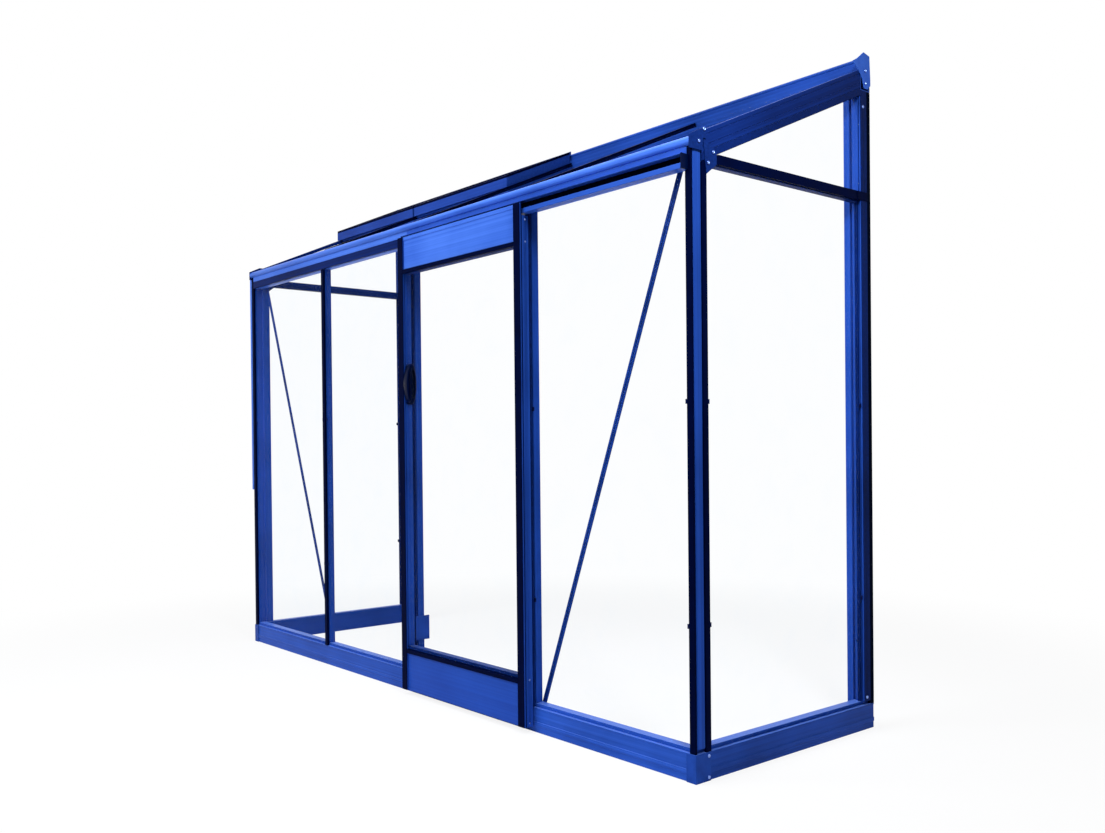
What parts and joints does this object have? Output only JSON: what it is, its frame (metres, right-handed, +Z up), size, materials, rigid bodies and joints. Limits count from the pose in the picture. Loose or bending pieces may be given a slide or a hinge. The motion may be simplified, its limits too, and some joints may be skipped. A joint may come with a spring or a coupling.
{
  "type": "lean-to greenhouse",
  "caption": "Lean-to balcony greenhouse: coated aluminium frame with a sliding door, gutter, downpipe and hinged roof vents, glazed on the front, ends and sloping roof.",
  "frame": {"origin": "middle of the overall footprint, on the ground", "axes": "+X along the house wall to the right, +Y back to the wall, +Z up"},
  "size_m": [3.024, 0.945, 2.2962],
  "materials": {
    "blue_coated_aluminium": "blue powder coat, satin",
    "blue_panel": "blue powder coat, satin",
    "black_capping": "black, slight sheen",
    "clear_glass": "clear, polished",
    "black_rubber": "matt",
    "bolt_steel": "satin",
    "roller_plastic": "matt",
    "blue_pipe": "satin"
  },
  "bodies": {
    "frame": {"base_front": "blue_coated_aluminium", "base_left": "blue_coated_aluminium", "base_right": "blue_coated_aluminium", "base_corner_covers": "blue_coated_aluminium", "corner_post_left": "blue_coated_aluminium", "corner_post_right": "blue_coated_aluminium", "wall_post_left": "blue_coated_aluminium", "wall_post_right": "blue_coated_aluminium", "glazing_bar": "blue_coated_aluminium", "door_post_left": "blue_coated_aluminium", "door_post_right": "blue_coated_aluminium", "gable_tie_left": "blue_coated_aluminium", "gable_tie_right": "blue_coated_aluminium", "eaves_beam": "blue_coated_aluminium", "gutter": "blue_coated_aluminium", "gutter_end_caps": "blue_coated_aluminium", "rafter_left": "blue_coated_aluminium", "rafter_right": "blue_coated_aluminium", "roof_bars": "blue_coated_aluminium", "vent_sills": "blue_coated_aluminium", "wall_plate": "blue_coated_aluminium", "wall_plate_end_caps": "blue_coated_aluminium", "eaves_gussets": "blue_coated_aluminium", "wind_brace_left": "blue_coated_aluminium", "wind_brace_right": "blue_coated_aluminium", "edge_cappings": "blue_coated_aluminium", "door_track": "blue_coated_aluminium", "jamb_plate": "blue_coated_aluminium", "wall_cappings": "black_capping", "roof_cappings": "black_capping", "track_stops": "black_capping", "glazing_clips": "black_capping", "front_panes_left": "clear_glass", "front_pane_right": "clear_glass", "end_panes_left": "clear_glass", "end_panes_right": "clear_glass", "roof_panes": "clear_glass", "wall_seals": "black_rubber", "frame_bolts": "bolt_steel", "downpipe": "blue_pipe"},
    "door": {"door_stiles": "blue_coated_aluminium", "door_rails": "blue_coated_aluminium", "door_top_panel": "blue_panel", "door_kick_panel": "blue_panel", "door_glass": "clear_glass", "door_cappings": "black_capping", "door_handle": "black_capping", "door_hangers": "blue_coated_aluminium", "door_guide_shoes": "black_capping", "door_screws": "bolt_steel"},
    "door_roller_left": {"door_roller_left": "roller_plastic"},
    "door_roller_right": {"door_roller_right": "roller_plastic"},
    "vent_left": {"vent_frame_left": "blue_coated_aluminium", "vent_glass_left": "clear_glass", "vent_capping_left": "black_capping"},
    "vent_right": {"vent_frame_right": "blue_coated_aluminium", "vent_glass_right": "clear_glass", "vent_capping_right": "black_capping"},
    "vent_stay_left": {"vent_stay_left": "blue_coated_aluminium"},
    "vent_stay_right": {"vent_stay_right": "blue_coated_aluminium"}
  },
  "joints": [
    {"name": "door_slide", "type": "slide", "parent": "frame", "child": "door", "axis": [1, 0, 0], "range_m": [0, 0.685]},
    {"name": "door_roller_left_spin", "type": "hinge", "parent": "door", "child": "door_roller_left", "pos_m": [0.1025, -0.4415, 1.7833], "axis": [0, 1, 0], "range_deg": [-1, 2185]},
    {"name": "door_roller_right_spin", "type": "hinge", "parent": "door", "child": "door_roller_right", "pos_m": [0.6575, -0.4415, 1.7833], "axis": [0, 1, 0], "range_deg": [-1, 2185]},
    {"name": "vent_left_hinge", "type": "hinge", "parent": "frame", "child": "vent_left", "pos_m": [-1.102, 0.4285, 2.26801], "axis": [-1, 0, 0], "range_deg": [0, 40]},
    {"name": "vent_stay_left_hinge", "type": "hinge", "parent": "vent_left", "child": "vent_stay_left", "pos_m": [-1.102, 0.0915, 2.10221], "axis": [-1, 0, 0], "range_deg": [0, 74]},
    {"name": "vent_right_hinge", "type": "hinge", "parent": "frame", "child": "vent_right", "pos_m": [-0.352, 0.4285, 2.26801], "axis": [-1, 0, 0], "range_deg": [0, 40]},
    {"name": "vent_stay_right_hinge", "type": "hinge", "parent": "vent_right", "child": "vent_stay_right", "pos_m": [-0.352, 0.0915, 2.10221], "axis": [-1, 0, 0], "range_deg": [0, 74]}
  ],
  "couplings": [
    {"joint": "door_roller_left_spin", "follows": "door_slide", "rad_per_m": 55.556},
    {"joint": "door_roller_right_spin", "follows": "door_slide", "rad_per_m": 55.556},
    {"joint": "vent_stay_left_hinge", "follows": "vent_left_hinge", "ratio": 1.85},
    {"joint": "vent_stay_right_hinge", "follows": "vent_right_hinge", "ratio": 1.85}
  ]
}
